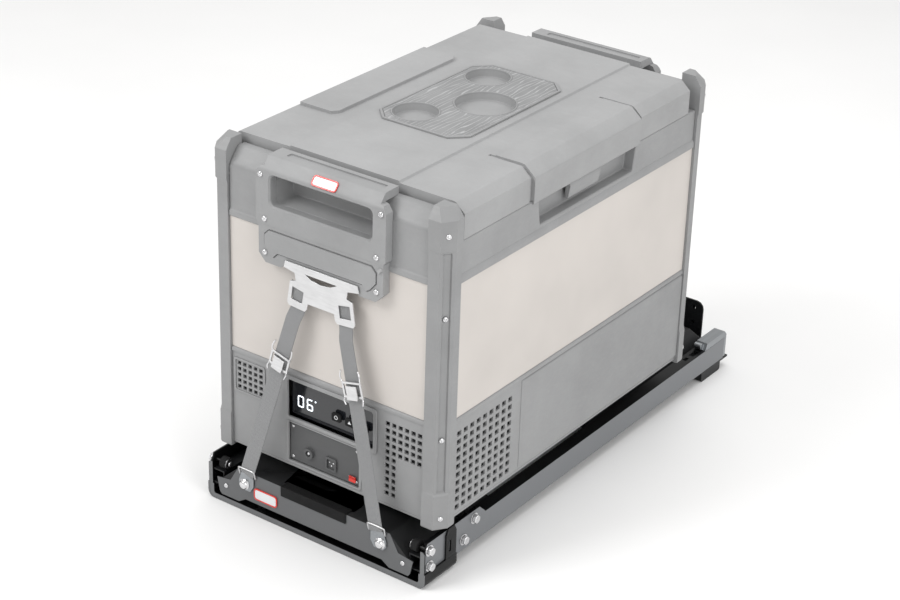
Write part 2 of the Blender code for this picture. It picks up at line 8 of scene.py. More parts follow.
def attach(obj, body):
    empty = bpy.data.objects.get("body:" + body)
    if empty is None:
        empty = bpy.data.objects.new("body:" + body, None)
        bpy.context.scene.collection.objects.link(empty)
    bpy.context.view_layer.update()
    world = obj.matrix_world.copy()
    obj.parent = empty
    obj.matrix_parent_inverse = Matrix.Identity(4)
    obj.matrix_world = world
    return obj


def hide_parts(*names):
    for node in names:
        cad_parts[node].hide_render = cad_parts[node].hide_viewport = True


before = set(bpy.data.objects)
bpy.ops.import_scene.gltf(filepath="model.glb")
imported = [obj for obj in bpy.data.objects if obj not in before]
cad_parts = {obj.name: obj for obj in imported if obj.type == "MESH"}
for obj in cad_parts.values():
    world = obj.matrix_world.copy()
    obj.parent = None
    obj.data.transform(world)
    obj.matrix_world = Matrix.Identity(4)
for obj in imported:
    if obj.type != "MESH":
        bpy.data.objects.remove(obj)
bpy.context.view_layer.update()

# Lengths below are millimetres, with x and y measured from the fridge's middle and z from the floor
SHIFT_Y = -68.45
HALF_W = 223.5
HALF_L = 361.7
PANEL_X = 217.5
PANEL_Y = 355.7
INNER_X = 187.2
INNER_Y = 325.4
PANEL_LOW = 101.3
PANEL_HIGH = 269.2
WALL = 4.0
ROLLER_Z = 64
LID_FRONT = -316.0
LID_REAR = 303.0

# Bodies that pieces ride on
CARRIAGE = "carriage"
FRAME = "slide_frame"
LID = "lid"


def at(x, y, z):
    """A point in millimetres as a vector in metres, in the row frame."""
    return Vector((x, y + SHIFT_Y, z)) * 0.001


# --- materials


class Paint:
    """Wires one procedural material."""

    def __init__(self, name, coords="Object"):
        self.material = bpy.data.materials.new(name)
        self.material.use_nodes = True
        self.nodes = self.material.node_tree.nodes
        self.links = self.material.node_tree.links
        self.shader = self.nodes["Principled BSDF"]
        self.coords = self.nodes.new("ShaderNodeTexCoord").outputs[coords]
        self.height = None

    def feed(self, socket, source):
        """Links a socket to another node's output, or sets its value."""
        if isinstance(source, bpy.types.NodeSocket):
            self.links.new(source, socket)
        elif socket.type == "RGBA":
            socket.default_value = (*source, 1.0)
        else:
            socket.default_value = source

    def add(self, kind, inputs, **settings):
        node = self.nodes.new("ShaderNode" + kind)
        for name, value in settings.items():
            setattr(node, name, value)
        for name, source in inputs.items():
            self.feed(node.inputs[name], source)
        return node

    def scaled(self, scale, turn=(0.0, 0.0, 0.0)):
        inputs = {"Vector": self.coords, "Scale": scale, "Rotation": turn}
        return self.add("Mapping", inputs).outputs["Vector"]

    def noise(self, scale, detail=2.0, rough=0.5, vector=None):
        inputs = {"Vector": vector or self.coords, "Scale": scale, "Detail": detail, "Roughness": rough}
        return self.add("TexNoise", inputs).outputs["Fac"]

    def voronoi(self, scale):
        return self.add("TexVoronoi", {"Vector": self.coords, "Scale": scale}).outputs["Distance"]

    def wave(self, scale, direction, vector, distortion=0.0, detail=0.0, detail_scale=1.0):
        inputs = {"Vector": vector, "Scale": scale, "Distortion": distortion, "Detail": detail,
                  "Detail Scale": detail_scale}
        return self.add("TexWave", inputs, bands_direction=direction).outputs["Fac"]

    def ramp(self, source, stops):
        node = self.add("ValToRGB", {"Fac": source})
        elements = node.color_ramp.elements
        while len(elements) < len(stops):
            elements.new(0.5)
        for element, (place, colour) in zip(elements, stops):
            element.position = place
            element.color = (*colour, 1.0)
        return node.outputs["Color"]

    def level(self, source, low, high, from_low=0.0, from_high=1.0):
        inputs = {"Value": source, "From Min": from_low, "From Max": from_high, "To Min": low, "To Max": high}
        return self.add("MapRange", inputs).outputs["Result"]

    def math(self, operation, a, b):
        return self.add("Math", {0: a, 1: b}, operation=operation).outputs["Value"]

    def blend(self, factor, a, b):
        return self.add("Mix", {0: factor, 6: a, 7: b}, data_type="RGBA").outputs[2]

    def parts(self, vector):
        return self.add("SeparateXYZ", {"Vector": vector}).outputs

    def put(self, name, source):
        self.feed(self.shader.inputs[name], source)

    def colour(self, source):
        self.put("Base Color", source)

    def rough(self, source):
        self.put("Roughness", source)

    def bump(self, source, distance, strength=1.0):
        inputs = {"Height": source, "Distance": distance, "Strength": strength}
        if self.height is not None:
            inputs["Normal"] = self.height
        self.height = self.add("Bump", inputs).outputs["Normal"]
        self.put("Normal", self.height)


def tint(colour, factor):
    return tuple(min(1.0, c * factor) for c in colour)


def moulded(name, colour, rough=0.55, grain=1400.0, depth=0.00006):
    """Textured moulded plastic: spark-eroded grain, slow tone drift and scuffs."""
    p = Paint(name)
    drift = p.noise(7.0, 4.0, 0.6)
    fleck = p.noise(260.0, 3.0, 0.7)
    base = p.ramp(drift, [(0.3, tint(colour, 0.9)), (0.5, colour), (0.72, tint(colour, 1.09))])
    scuff = p.noise(34.0, 6.0, 0.75, p.scaled((1.0, 2.2, 5.0), (0.3, 0.5, 0.2)))
    scuffed = p.blend(p.level(scuff, 0.0, 0.35, 0.62, 0.78), base, tint(colour, 1.3))
    p.colour(p.blend(p.level(fleck, 0.0, 0.22, 0.5, 0.8), scuffed, tint(colour, 0.8)))
    p.rough(p.level(scuff, rough + 0.1, rough - 0.1, 0.3, 0.75))
    p.bump(p.voronoi(grain), depth, 0.55)
    p.bump(p.noise(45.0, 3.0), 0.00012, 0.4)
    return p.material


def coated(name, colour, rough=0.4, metal=0.0, peel=420.0, scratch=0.25, lift=1.35, shine=0.5):
    """Powder-coated sheet: orange peel, faint cloudiness and fine handling scratches."""
    p = Paint(name)
    drift = p.noise(5.0, 3.0, 0.55)
    base = p.ramp(drift, [(0.28, tint(colour, 0.92)), (0.5, colour), (0.75, tint(colour, 1.07))])
    lines = p.noise(60.0, 8.0, 0.8, p.scaled((1.0, 0.05, 1.6), (0.1, 0.2, 0.6)))
    marked = p.level(lines, 0.0, scratch, 0.6, 0.74)
    p.colour(p.blend(marked, base, tint(colour, lift)))
    p.rough(p.level(drift, rough - 0.05, rough + 0.08, 0.3, 0.7))
    p.put("Metallic", metal)
    p.put("Specular IOR Level", shine)
    p.bump(p.noise(peel, 2.0), 0.00008, 0.6)
    p.bump(lines, 0.00005, 0.3)
    return p.material


def painted_sheen_coat(name, dark, light, axis, limit, above, rough=0.32, metal_share=0.4):
    """Black powder coat with painted sheen: the faces past a plane get a lighter satin-graphite tone standing
    in for light they catch, black elsewhere.
    """
    p = Paint(name)
    place = p.parts(p.coords)["XYZ".index(axis)]
    if above:
        place = p.math("ABSOLUTE", place, 0.0)
        painted_sheen_mask = p.math("GREATER_THAN", place, limit)
    else:
        painted_sheen_mask = p.math("LESS_THAN", place, limit)
    drift = p.noise(5.0, 3.0, 0.55)
    lines = p.noise(60.0, 8.0, 0.8, p.scaled((1.0, 0.05, 1.6), (0.1, 0.2, 0.6)))
    low = p.ramp(drift, [(0.28, tint(dark, 0.9)), (0.75, tint(dark, 1.12))])
    high = p.ramp(drift, [(0.28, tint(light, 0.93)), (0.75, tint(light, 1.07))])
    # Painted sheen: the masked faces take the lighter tone in place of light falling on them; the coat itself
    # is black all over
    base = p.blend(painted_sheen_mask, low, high)
    p.colour(p.blend(p.level(lines, 0.0, 0.22, 0.6, 0.74), base, tint(light, 1.2)))
    p.rough(p.level(drift, rough - 0.05, rough + 0.08, 0.3, 0.7))
    p.put("Metallic", metal_share)
    p.put("Specular IOR Level", 0.3)
    p.bump(p.noise(420.0, 2.0), 0.00008, 0.6)
    p.bump(lines, 0.00005, 0.3)
    return p.material


def metal(name, colour, rough=0.25, stretch=(400.0, 8.0, 400.0), bite=0.00004):
    """Plated or brushed steel with directional grain and smudges."""
    p = Paint(name)
    grain = p.noise(1.0, 6.0, 0.7, p.scaled(stretch))
    smudge = p.noise(28.0, 4.0, 0.6)
    base = p.ramp(grain, [(0.25, tint(colour, 0.86)), (0.55, colour), (0.8, tint(colour, 1.08))])
    p.colour(p.blend(p.level(smudge, 0.0, 0.25, 0.5, 0.8), base, tint(colour, 0.78)))
    p.put("Metallic", 1.0)
    p.rough(p.level(smudge, rough - 0.06, rough + 0.12, 0.3, 0.75))
    p.bump(grain, bite, 0.5)
    return p.material


def rubbery(name, colour, rough=0.75, pitch=900.0):
    """Moulded rubber with a fine matte skin and dusty high spots."""
    p = Paint(name)
    dust = p.noise(40.0, 5.0, 0.7)
    p.colour(p.blend(p.level(dust, 0.0, 0.4, 0.5, 0.8), colour, tint(colour, 1.9)))
    p.rough(p.level(dust, rough - 0.1, rough + 0.12, 0.3, 0.7))
    p.put("Specular IOR Level", 0.22)
    p.bump(p.voronoi(pitch), 0.00006, 0.5)
    return p.material


def woven(name, colour):
    """Polyester webbing: ribs across and warp threads along."""
    p = Paint(name, "UV")
    ribs = p.wave(1.0, "Y", p.scaled((0.0, 96.0, 0.0)))
    warp = p.wave(1.0, "X", p.scaled((6.5, 0.0, 0.0)))
    twill = p.wave(1.0, "DIAGONAL", p.scaled((7.0, 64.0, 0.0)), 0.6, 1.0)
    threads = p.math("MULTIPLY", ribs, warp)
    mix = p.math("MULTIPLY", threads, twill)
    fuzz = p.noise(900.0, 2.0, 0.6, p.scaled((0.03, 0.35, 0.0)))
    base = p.ramp(mix, [(0.0, tint(colour, 0.5)), (0.25, tint(colour, 0.95)), (0.8, tint(colour, 1.5))])
    p.colour(p.blend(p.level(fuzz, 0.0, 0.3, 0.4, 0.7), base, tint(colour, 1.25)))
    p.rough(0.86)
    p.put("Sheen Weight", 0.25)
    p.put("Sheen Roughness", 0.45)
    p.bump(threads, 0.0004, 0.8)
    p.bump(twill, 0.0002, 0.5)
    return p.material


def contour_mat(name, colour):
    """Rubber mat moulded with long wood-grain contour lines in low relief."""
    p = Paint(name)
    warped = p.noise(16.0, 2.0, 0.5)
    lines = p.wave(12.0, "X", p.scaled((3.4, 0.6, 1.0)), 9.0, 2.0, 1.5)
    edge = p.level(lines, 0.0, 1.0, 0.84, 0.97)
    base = p.ramp(warped, [(0.3, tint(colour, 0.86)), (0.7, tint(colour, 1.08))])
    p.colour(p.blend(edge, base, tint(colour, 1.55)))
    p.rough(p.level(edge, 0.72, 0.55))
    p.bump(edge, 0.0006, 0.9)
    p.bump(p.voronoi(1100.0), 0.00005, 0.5)
    return p.material


def foam_with_painted_shade(name, colour):
    """Cut foam: open cells and a yellowed tone, with painted shade: near-black below 0.27 m, where the foam
    sits in shade behind the lower vents and the display recess.
    """
    p = Paint(name)
    cells = p.voronoi(420.0)
    # Painted shade: the foam fades to near-black below 0.262 to 0.27 m, standing in for the shade behind the
    # vents
    skin = p.level(p.parts(p.coords)["Z"], 0.0, 1.0, 0.262, 0.27)
    p.colour(p.blend(skin, (0.02, 0.02, 0.02), p.ramp(cells, [(0.0, tint(colour, 0.7)), (0.6, colour)])))
    p.rough(0.9)
    p.bump(cells, 0.0006, 0.7)
    return p.material


def gloss(name, colour, rough=0.12, glow=None):
    """Gloss moulding or window with light dust and hairline swirls."""
    p = Paint(name)
    dust = p.noise(120.0, 5.0, 0.7)
    p.colour(p.blend(p.level(dust, 0.0, 0.12, 0.55, 0.8), colour, tint(colour, 1.6)))
    p.rough(p.level(dust, rough, rough + 0.14, 0.4, 0.75))
    p.put("Coat Weight", 0.4)
    p.put("Coat Roughness", 0.08)
    p.bump(p.noise(18.0, 2.0), 0.00006, 0.3)
    if glow:
        p.put("Emission Color", glow)
        p.put("Emission Strength", 2.2)
    return p.material


M = {
    "case": moulded("case_moulding", (0.272, 0.274, 0.277), 0.5),
    "case_dark": moulded("case_moulding_dark", (0.05, 0.051, 0.053), 0.6),
    "lid": moulded("lid_moulding", (0.31, 0.312, 0.315), 0.52),
    "post": moulded("post_moulding", (0.262, 0.264, 0.267), 0.48),
    "beige": coated("panel_powder_coat", (0.55, 0.515, 0.485), 0.42, 0.0, 520.0, 0.1, 1.1),
    "black": coated("slide_powder_coat", (0.01, 0.0105, 0.0115), 0.36, 0.0, shine=0.25),
    # Painted sheen: the front faces of the crossmember and tray plates and the outer faces of the outer rails
    # get a lighter graphite tone standing in for light they catch
    "crossmember": painted_sheen_coat("crossmember_coat_painted_sheen", (0.005, 0.0052, 0.0056), (0.17, 0.174, 0.178),
                            "Y", -0.45475, False),
    "tray": painted_sheen_coat("tray_coat_painted_sheen", (0.022, 0.0225, 0.0235), (0.135, 0.138, 0.142),
                     "Y", -0.4566, False, 0.36),
    "outer_rail": painted_sheen_coat("outer_rail_coat_painted_sheen", (0.007, 0.0073, 0.0078), (0.2, 0.207, 0.217),
                           "X", 0.2127, True),
    "panel_dark": moulded("power_panel_moulding", (0.075, 0.076, 0.078), 0.45),
    "rail": metal("rail_satin_steel", (0.34, 0.355, 0.37), 0.36, (300.0, 6.0, 300.0)),
    "bright": metal("bright_plating", (0.74, 0.74, 0.75), 0.22, (120.0, 120.0, 30.0), 0.00002),
    "hook": metal("hook_plating", (0.66, 0.66, 0.665), 0.36, (30.0, 300.0, 300.0), 0.00003),
    "rubber": rubbery("black_rubber", (0.009, 0.009, 0.0095)),
    "grip": rubbery("grip_rubber", (0.004, 0.004, 0.0043), 0.62, 500.0),
    "webbing": woven("grey_webbing", (0.35, 0.353, 0.36)),
    "mat": contour_mat("cup_mat_rubber", (0.24, 0.242, 0.245)),
    "foam": foam_with_painted_shade("insulation_foam", (0.8, 0.72, 0.46)),
    "liner": moulded("liner_plastic", (0.72, 0.74, 0.75), 0.4, 700.0, 0.00002),
    "glass": gloss("display_window", (0.012, 0.013, 0.016), 0.1),
    "red": gloss("signal_red", (0.62, 0.03, 0.02), 0.25),
    "digits": gloss("display_digits", (0.8, 0.83, 0.85), 0.3, (0.85, 0.92, 1.0)),
    "plate": gloss("badge_face", (0.68, 0.69, 0.7), 0.3),
    "enamel": coated("compressor_enamel", (0.02, 0.02, 0.022), 0.25),
    "symbol": moulded("key_symbol", (0.75, 0.76, 0.77), 0.5),
}


# --- mesh tools


def lift(point, axis, level):
    u, v = point
    if axis == "X":
        return (level, u, v)
    if axis == "Y":
        return (u, level, v)
    return (u, v, level)


def plate(axis, low, high, outer, holes=()):
    """A flat outline with holes, from low to high along an axis."""
    rings = [list(outer)] + [list(h) for h in holes]
    flat = [p for ring in rings for p in ring]
    count = len(flat)
    if holes:
        tris = [tuple(t) for t in tessellate_polygon([[Vector((*p, 0.0)) for p in r] for r in rings])]
    else:
        tris = [tuple(range(count))]
    verts = [lift(p, axis, low) for p in flat] + [lift(p, axis, high) for p in flat]
    faces = tris + [tuple(count + i for i in t) for t in tris]
    start = 0
    for ring in rings:
        for i in range(len(ring)):
            a = start + i
            b = start + (i + 1) % len(ring)
            faces.append((a, b, count + b, count + a))
        start += len(ring)
    return verts, faces


def loft(loops, closed=False):
    """A solid through loops of equal length, capped unless the loops close on themselves."""
    count = len(loops[0])
    verts = [tuple(p) for loop in loops for p in loop]
    faces = []
    if not closed:
        faces.append(tuple(range(count)))
        faces.append(tuple(count * (len(loops) - 1) + i for i in range(count)))
    last = len(loops) if closed else len(loops) - 1
    for k in range(last):
        for i in range(count):
            j = (i + 1) % count
            a = k * count
            b = ((k + 1) % len(loops)) * count
            faces.append((a + i, a + j, b + j, b + i))
    return verts, faces


def merged(*solids):
    verts = []
    faces = []
    for solid_verts, solid_faces in solids:
        start = len(verts)
        verts += solid_verts
        faces += [tuple(start + i for i in face) for face in solid_faces]
    return verts, faces


def flipped(solid, axis):
    """A solid mirrored through the middle plane across an axis."""
    k = "XYZ".index(axis)
    return [tuple(-c if i == k else c for i, c in enumerate(v)) for v in solid[0]], solid[1]


def facing(solid, sign, axis):
    """A solid modelled on an axis' plus side, moved to the side with the given sign."""
    return solid if sign > 0 else flipped(solid, axis)


def circle(cx, cy, radius, count):
    angles = [2 * math.pi * i / count for i in range(count)]
    return [(cx + radius * math.cos(a), cy + radius * math.sin(a)) for a in angles]


def rect(x0, x1, y0, y1):
    return [(x0, y0), (x1, y0), (x1, y1), (x0, y1)]


def rounded(x0, x1, y0, y1, radius, steps=6):
    points = []
    for cx, cy, quarter in ((x1, y1, 0), (x0, y1, 1), (x0, y0, 2), (x1, y0, 3)):
        ox = cx - radius if quarter in (0, 3) else cx + radius
        oy = cy - radius if quarter in (0, 1) else cy + radius
        for k in range(steps + 1):
            angle = math.pi / 2.0 * (quarter + k / steps)
            points.append((ox + radius * math.cos(angle), oy + radius * math.sin(angle)))
    return points


def disc(axis, cu, cv, low, high, radius, count=32, hole=0.0):
    holes = [circle(cu, cv, hole, count)] if hole else []
    return plate(axis, low, high, circle(cu, cv, radius, count), holes)


def hoop(axis, low, high, outer, inner):
    """A flat frame between two outlines with the same number of points."""
    loops = [[lift(o, axis, low), lift(o, axis, high), lift(i, axis, high), lift(i, axis, low)]
             for o, i in zip(outer, inner)]
    return loft(loops, True)


def grown(outline, distance):
    """An outline moved outward (or inward when negative) by mitring each corner."""
    points = [Vector(p) for p in outline]
    area = sum(a.x * b.y - b.x * a.y for a, b in zip(points, points[1:] + points[:1]))
    side = 1.0 if area > 0 else -1.0
    moved = []
    for i, point in enumerate(points):
        before = (point - points[i - 1]).normalized()
        after = (points[(i + 1) % len(points)] - point).normalized()
        n0 = Vector((before.y, -before.x)) * side
        n1 = Vector((after.y, -after.x)) * side
        shift = (n0 + n1) / max(0.3, 1.0 + n0.dot(n1)) * distance
        moved.append(tuple(point + shift))
    return moved


def perforated(axis, low, high, field, holes):
    """A plate with rectangular holes, built on a grid so that every face is a clean quad."""
    us = sorted({field[0], field[1], *(h[0] for h in holes), *(h[1] for h in holes)})
    vs = sorted({field[2], field[3], *(h[2] for h in holes), *(h[3] for h in holes)})
    verts = []
    for level in (low, high):
        verts += [lift((u, v), axis, level) for v in vs for u in us]
    wide = len(us)
    layer = wide * len(vs)

    def solid(i, j):
        if not (0 <= i < wide - 1 and 0 <= j < len(vs) - 1):
            return False
        u = (us[i] + us[i + 1]) / 2
        v = (vs[j] + vs[j + 1]) / 2
        return not any(a < u < b and c < v < d for a, b, c, d in holes)

    faces = []
    for j in range(len(vs) - 1):
        for i in range(wide - 1):
            if not solid(i, j):
                continue
            corners = (j * wide + i, j * wide + i + 1, (j + 1) * wide + i + 1, (j + 1) * wide + i)
            faces.append(corners)
            faces.append(tuple(layer + k for k in reversed(corners)))
            sides = ((0, -1, 0, 1), (1, 0, 1, 2), (0, 1, 2, 3), (-1, 0, 3, 0))
            for di, dj, a, b in sides:
                if not solid(i + di, j + dj):
                    faces.append((corners[a], corners[b], layer + corners[b], layer + corners[a]))
    return verts, faces


def grid(u0, u1, v0, v1, columns, rows, size_u, size_v):
    """Evenly spaced rectangular holes that fill a field."""
    holes = []
    for i in range(columns):
        for j in range(rows):
            u = u0 + (u1 - u0 - size_u) * (i / (columns - 1))
            v = v0 + (v1 - v0 - size_v) * (j / (rows - 1))
            holes.append((u, u + size_u, v, v + size_v))
    return holes


def mesh_object(name, solid):
    """A raw object from millimetre points, with outward faces."""
    mesh = bpy.data.meshes.new(name)
    mesh.from_pydata([tuple(at(*v)) for v in solid[0]], [], solid[1])
    work = bmesh.new()
    work.from_mesh(mesh)
    bmesh.ops.remove_doubles(work, verts=work.verts, dist=1e-6)
    bmesh.ops.recalc_face_normals(work, faces=work.faces)
    work.to_mesh(mesh)
    work.free()
    item = bpy.data.objects.new(name, mesh)
    bpy.context.scene.collection.objects.link(item)
    return item


def baked(item):
    """Applies an object's modifiers by reading back its evaluated mesh."""
    graph = bpy.context.evaluated_depsgraph_get()
    mesh = bpy.data.meshes.new_from_object(item.evaluated_get(graph))
    item.modifiers.clear()
    item.data = mesh
    return item


def combine(item, solids, operation):
    for solid in solids:
        tool = mesh_object("tool", solid)
        step = item.modifiers.new("step", "BOOLEAN")
        step.operation = operation
        step.solver = "EXACT"
        step.object = tool
        baked(item)
        bpy.data.objects.remove(tool, do_unlink=True)
    return item


def finished(item, material, width=0.8, segments=3, angle=30.0, flatten=True):
    """Rounded edges, smooth shading and the material."""
    item.data.materials.clear()
    item.data.materials.append(material)
    for polygon in item.data.polygons:
        polygon.use_smooth = True
    if width:
        if flatten:
            thin = item.modifiers.new("flatten", "DECIMATE")
            thin.decimate_type = "DISSOLVE"
            thin.angle_limit = math.radians(0.6)
        edge = item.modifiers.new("edge", "BEVEL")
        edge.width = width * 0.001
        edge.segments = segments
        edge.limit_method = "ANGLE"
        edge.angle_limit = math.radians(angle)
        edge.miter_outer = "MITER_ARC"
        edge.harden_normals = True
        edge.use_clamp_overlap = True
    weight = item.modifiers.new("normals", "WEIGHTED_NORMAL")
    weight.keep_sharp = True
    weight.weight = 60
    return item


def piece(name, solid, material, body, width=0.8, segments=3, replaces=(), cut=(), add=()):
    """A finished visual piece that rides on a body."""
    item = mesh_object(name, solid)
    combine(item, add, "UNION")
    combine(item, cut, "DIFFERENCE")
    finished(item, M[material], width, segments)
    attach(item, body)
    if replaces:
        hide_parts(*replaces)
    return item


def turned(profile, origin, axis, count=32, ring=None):
    """A turned solid: (radius, height) pairs about an axis, each ring optionally reshaped."""
    axis = Vector(axis).normalized()
    side = axis.orthogonal().normalized()
    up = axis.cross(side)
    origin = Vector(origin)
    loops = []
    for k, (radius, height) in enumerate(profile):
        loop = []
        for i in range(count):
            angle = 2 * math.pi * i / count
            r = radius if ring is None else ring(k, angle, radius)
            loop.append(tuple(origin + axis * height + side * r * math.cos(angle) + up * r * math.sin(angle)))
        loops.append(loop)
    return loft(loops)


def hexed(angle, radius):
    """The radius of a hexagon with the given across-corner radius."""
    part = (angle + math.pi / 6) % (math.pi / 3) - math.pi / 6
    return radius * math.cos(math.pi / 6) / math.cos(part)


def button_screw(origin, axis, radius=4.2, height=2.3, lift_off=0.25):
    """A button-head screw with a hex socket."""
    profile = [
        (radius * 0.97, 0.0), (radius, 0.25), (radius * 0.95, height * 0.45), (radius * 0.78, height * 0.82),
        (radius * 0.5, height), (radius * 0.46, height), (radius * 0.44, height * 0.3), (0.05, height * 0.25),
    ]
    profile = [(r, h + lift_off) for r, h in profile]

    def ring(k, angle, r):
        return hexed(angle, r) if k in (5, 6) else r

    return turned(profile, origin, axis, 24, ring)


def hex_bolt(origin, axis, radius=7.4, height=6.0, washer=9.5, lift_off=0.2):
    """A hex head with a chamfered top on a plain washer."""
    washer_ring = turned(
        [(washer - 0.3, 0.0), (washer, 0.3), (washer, 1.3), (washer - 0.4, 1.6)],
        Vector(origin) + Vector(axis) * lift_off, axis, 32,
    )
    profile = [
        (radius, 1.7), (radius, height * 0.8), (radius * 0.93, height * 0.95), (radius * 0.78, height),
        (radius * 0.4, height), (radius * 0.34, height - 0.35), (0.05, height - 0.4),
    ]
    profile = [(r, h + lift_off) for r, h in profile]

    def ring(k, angle, r):
        return hexed(angle, r) if k < 3 else min(r, hexed(angle, radius))

    return merged(washer_ring, turned(profile, origin, axis, 36, ring))


def tube(points, radius, count=12):
    """A round wire along millimetre points."""
    path = [Vector(p) for p in points]
    loops = []
    side = None
    for i, point in enumerate(path):
        ahead = (path[min(i + 1, len(path) - 1)] - path[max(i - 1, 0)]).normalized()
        if side is None:
            side = ahead.orthogonal().normalized()
        side = (side - ahead * side.dot(ahead)).normalized()
        up = ahead.cross(side)
        turns = [2 * math.pi * k / count for k in range(count)]
        loops.append([tuple(point + side * radius * math.cos(a) + up * radius * math.sin(a)) for a in turns])
    return loft(loops)


def smooth_path(points, steps=6):
    """A Catmull-Rom line through points."""
    path = [Vector(p) for p in points]
    out = []
    for i in range(len(path) - 1):
        a = path[max(i - 1, 0)]
        b = path[i]
        c = path[i + 1]
        d = path[min(i + 2, len(path) - 1)]
        for k in range(steps):
            t = k / steps
            out.append(0.5 * ((2 * b) + (c - a) * t + (2 * a - 5 * b + 4 * c - d) * t * t
                              + (3 * b - a - 3 * c + d) * t * t * t))
    out.append(path[-1])
    return out


# --- CAD nodes kept

KEPT = {
    "case": ["base_pan", "lid_latch", "rim_side_left", "rim_side_right"],
    "panel_dark": ["power_panel"],
    "post": ["corner_post_front_left", "corner_post_front_right", "corner_post_rear_left",
             "corner_post_rear_right"],
    "beige": ["end_panel_front", "end_panel_rear", "side_panel_left", "side_panel_right"],
    "black": ["rear_crossmember", "inner_rail_left", "inner_rail_right"],
    "crossmember": ["front_crossmember"],
    "tray": ["tray_front_plate", "tray_rear_plate"],
    "outer_rail": ["outer_rail_left", "outer_rail_right"],
    "rail": ["rail_end_block_left", "rail_end_block_right"],
    "bright": ["pawl_left", "pawl_right", "release_bar", "hinge_bar"],
    "rubber": ["lid_gasket", "button_down", "button_up", "button_power", "roller_front_left",
               "roller_front_right", "roller_mid_left", "roller_mid_right"],
    "grip": ["grip_sleeve"],
    "foam": ["foam_insulation"],
    "liner": ["inner_liner", "lid_liner"],
    "glass": ["display_module"],
    "red": ["power_switch"],
    "enamel": ["compressor", "condenser"],
    "case_dark": ["fan"],
}
# Edge rounding where it isn't the usual half millimetre
WIDTHS = {
    "corner_post_front_left": 1.6, "corner_post_front_right": 1.6, "corner_post_rear_left": 1.6,
    "corner_post_rear_right": 1.6, "grip_sleeve": 2.4, "rim_side_left": 1.8, "rim_side_right": 1.8,
    "tray_front_plate": 0.9, "tray_rear_plate": 1.2, "front_crossmember": 0.7, "rear_crossmember": 0.6,
    "inner_liner": 1.2, "rail_end_block_left": 2.2, "rail_end_block_right": 2.2,
}
for material, names in KEPT.items():
    for name in names:
        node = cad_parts[name]
        mesh = node.data
        for layer in ("custom_normal", "sharp_edge"):
            if layer in mesh.attributes:
                mesh.attributes.remove(mesh.attributes[layer])
        weld = node.modifiers.new("weld", "WELD")
        weld.merge_threshold = 0.00002
        finished(node, M[material], WIDTHS.get(name, 0.5), 2)

# --- lid

profile = [
    (-217, 558), (-217, 597), (-201, 612.2), (-198, 613), (-101.6, 614), (-100.4, 616),
    (100.4, 616), (102.4, 612.7), (198, 612.4), (201.5, 611.2), (217, 597.5), (217, 558),
]
# Each cup holder's centre and radius
CUPS = ((-36, -96, 36), (-36, 96, 36), (27, 0, 48))
pad_outline = [(-197, -178), (-136, -178), (-128, -168), (-128, 128), (-136, 140), (-197, 140)]
pad = plate("Z", 606, 618.6, pad_outline)
grip = plate("Y", -149, 152, [
    (150, 606), (150, 613.6), (197, 614.0), (202, 612.8), (219.6, 598.2), (221.3, 595), (221.3, 556),
    (219.6, 554), (217.9, 554), (217.9, 560), (205, 560),
])
groove = [(140, 620), (140, 610.4), (198.4, 609.6), (214.4, 595.4), (214.4, 550), (230, 550), (230, 620)]
grooves = [plate("Y", y - 3, y + 3, groove) for y in (-149, 152)]
wells = [turned([(r - 3.5, 605.5), (r - 1.4, 606.0), (r - 0.6, 608), (r, 640)], (x, y, 0), (0, 0, 1), 56)
         for x, y, r in CUPS]
underside = [(-213, 540), (-213, 590), (-184, 602), (184, 602), (213, 590), (213, 540)]
hollow = plate("Y", LID_FRONT + 4, LID_REAR - 4, underside)
lid = mesh_object("lid_cover", plate("Y", LID_FRONT, LID_REAR, profile))
combine(lid, [pad, grip], "UNION")
combine(lid, grooves + wells + [hollow], "DIFFERENCE")
hinge_centre = (-220.6, 557.0)
knuckles = []
for y in (-205, 150):
    outline = [(-216.4, 588), (-222.5, 588)]
    for k in range(13):
        angle = math.radians(135 + 225 * k / 12)
        outline.append((hinge_centre[0] + 2.7 * math.cos(angle), hinge_centre[1] + 2.7 * math.sin(angle)))
    outline += [(-217.9, 560), (-216.4, 560)]
    knuckles.append(plate("Y", y + 16.3, y + 33.7, outline, [circle(*hinge_centre, 1.7, 16)]))
combine(lid, knuckles, "UNION")
finished(lid, M["lid"], 1.5, 3, 28.0)
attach(lid, LID)
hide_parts("lid_shell")

# Cup mat: an octagon with a raised border, ringed cups and a grain relief
octagon = [(-86, -122), (-61, -147), (61, -147), (86, -122), (86, 122), (61, 147), (-61, 147), (-86, 122)]
inner_octagon = [(x * 0.955, y * 0.972) for x, y in octagon]
mat_floor = plate("Z", 616.1, 618.2, inner_octagon, [circle(x, y, r, 56) for x, y, r in CUPS])
piece("cup_mat_face", mat_floor, "mat", LID, 0.5, 2, ["cup_mat"])
border_hole = [(x * 0.962, y * 0.976) for x, y in octagon]
mat_border = plate("Z", 616.05, 619.2, octagon, [border_hole])
piece("cup_mat_border", mat_border, "case", LID, 0.7, 3)
for k, (x, y, r) in enumerate(CUPS):
    ring = [(r - 0.2, 612.0), (r - 0.2, 619.0), (r + 0.9, 619.6), (r + 2.2, 619.3), (r + 2.6, 617.0)]
    ring += [(r + 2.4, 616.2), (r + 0.3, 616.2), (r + 0.3, 612.0)]
    angles = [2 * math.pi * i / 64 for i in range(64)]
    loops = [[(x + q * math.cos(a), y + q * math.sin(a), z) for q, z in ring] for a in angles]
    piece("cup_ring_%d" % (k + 1), loft(loops, True), "case", LID, 0.0)

# --- rim ends and handles

